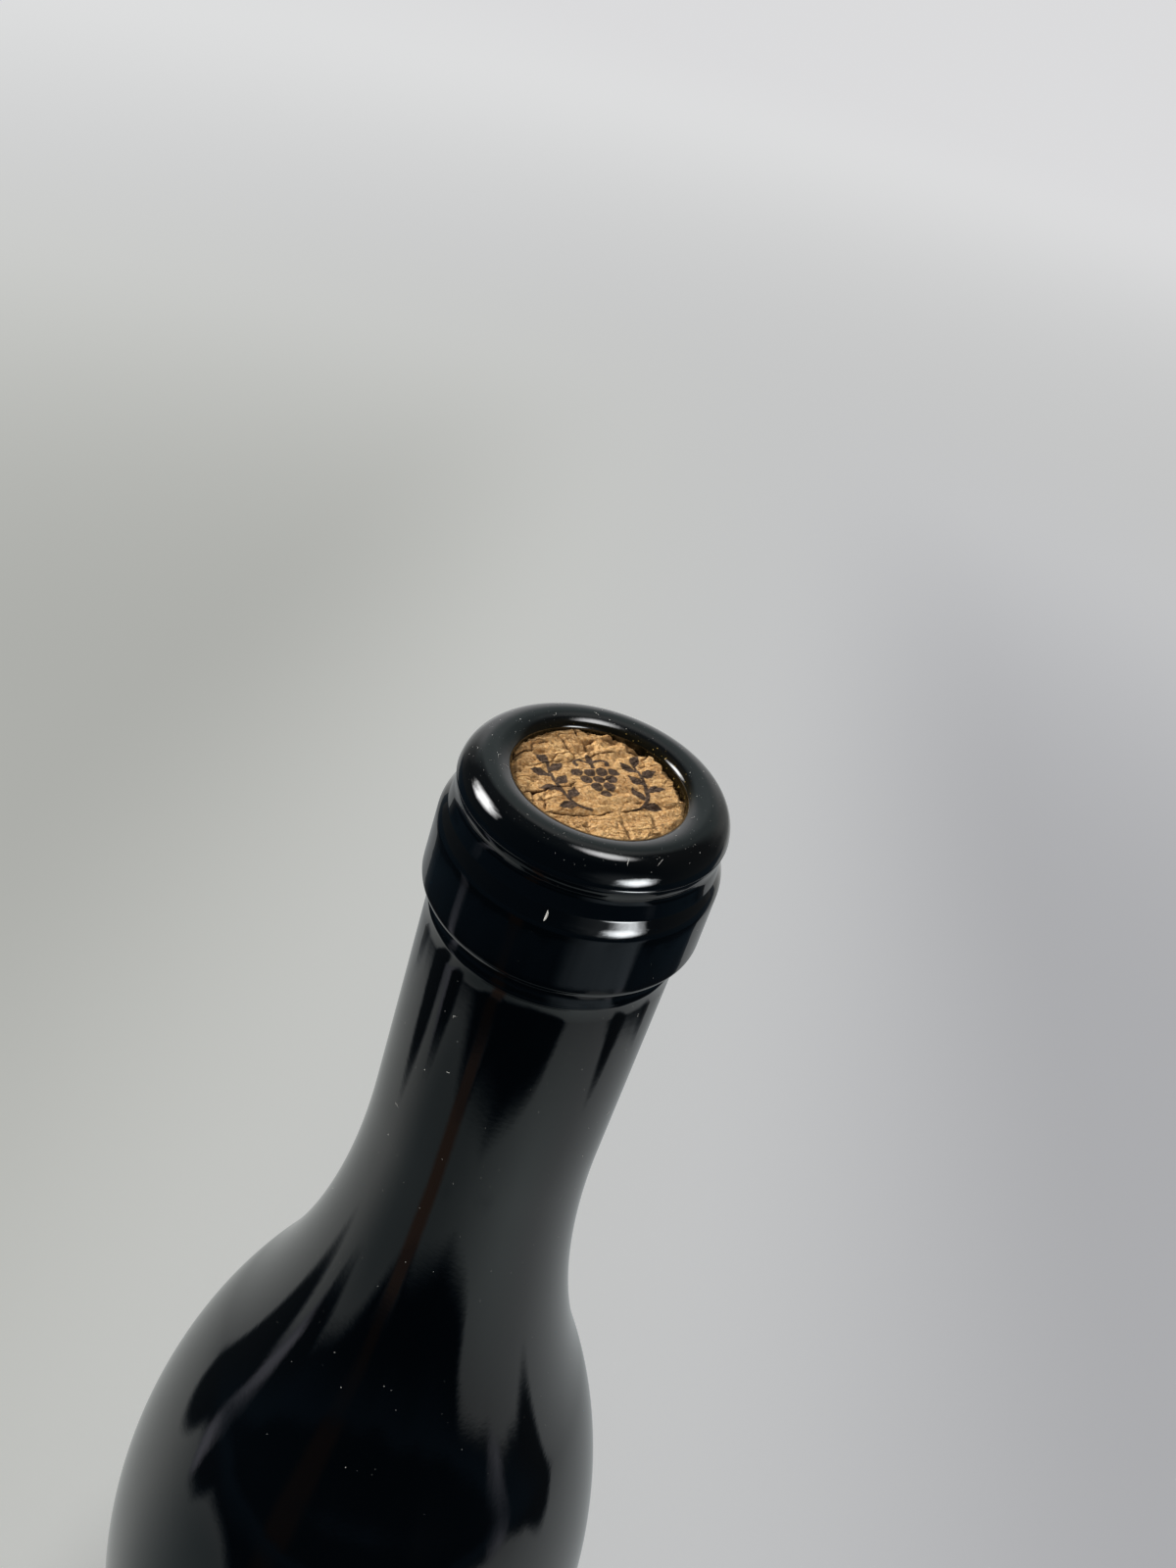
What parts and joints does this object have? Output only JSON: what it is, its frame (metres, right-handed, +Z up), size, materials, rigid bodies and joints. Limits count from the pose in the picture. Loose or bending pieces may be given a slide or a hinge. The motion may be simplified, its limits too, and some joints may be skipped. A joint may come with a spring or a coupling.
{
  "type": "wine bottle",
  "caption": "Shut wine bottle of dark glass with long sloping shoulders, a rounded lip above a deep collar, a punt under its base and a natural cork just below the lip.",
  "frame": {"origin": "centre of the base, on the surface that the bottle stands on", "axes": "+Z up the bottle's axis to the mouth; -Y faces the viewer of the cork's cracks"},
  "size_m": [0.0842, 0.0842, 0.296],
  "materials": {
    "glass": "polished, almost black green-blue glass that lets no light through when the bottle is full",
    "cork": "dry natural cork, cracked and crumbly on its end"
  },
  "bodies": {
    "root": {"bottle": "glass", "cork": "cork"}
  },
  "joints": []
}
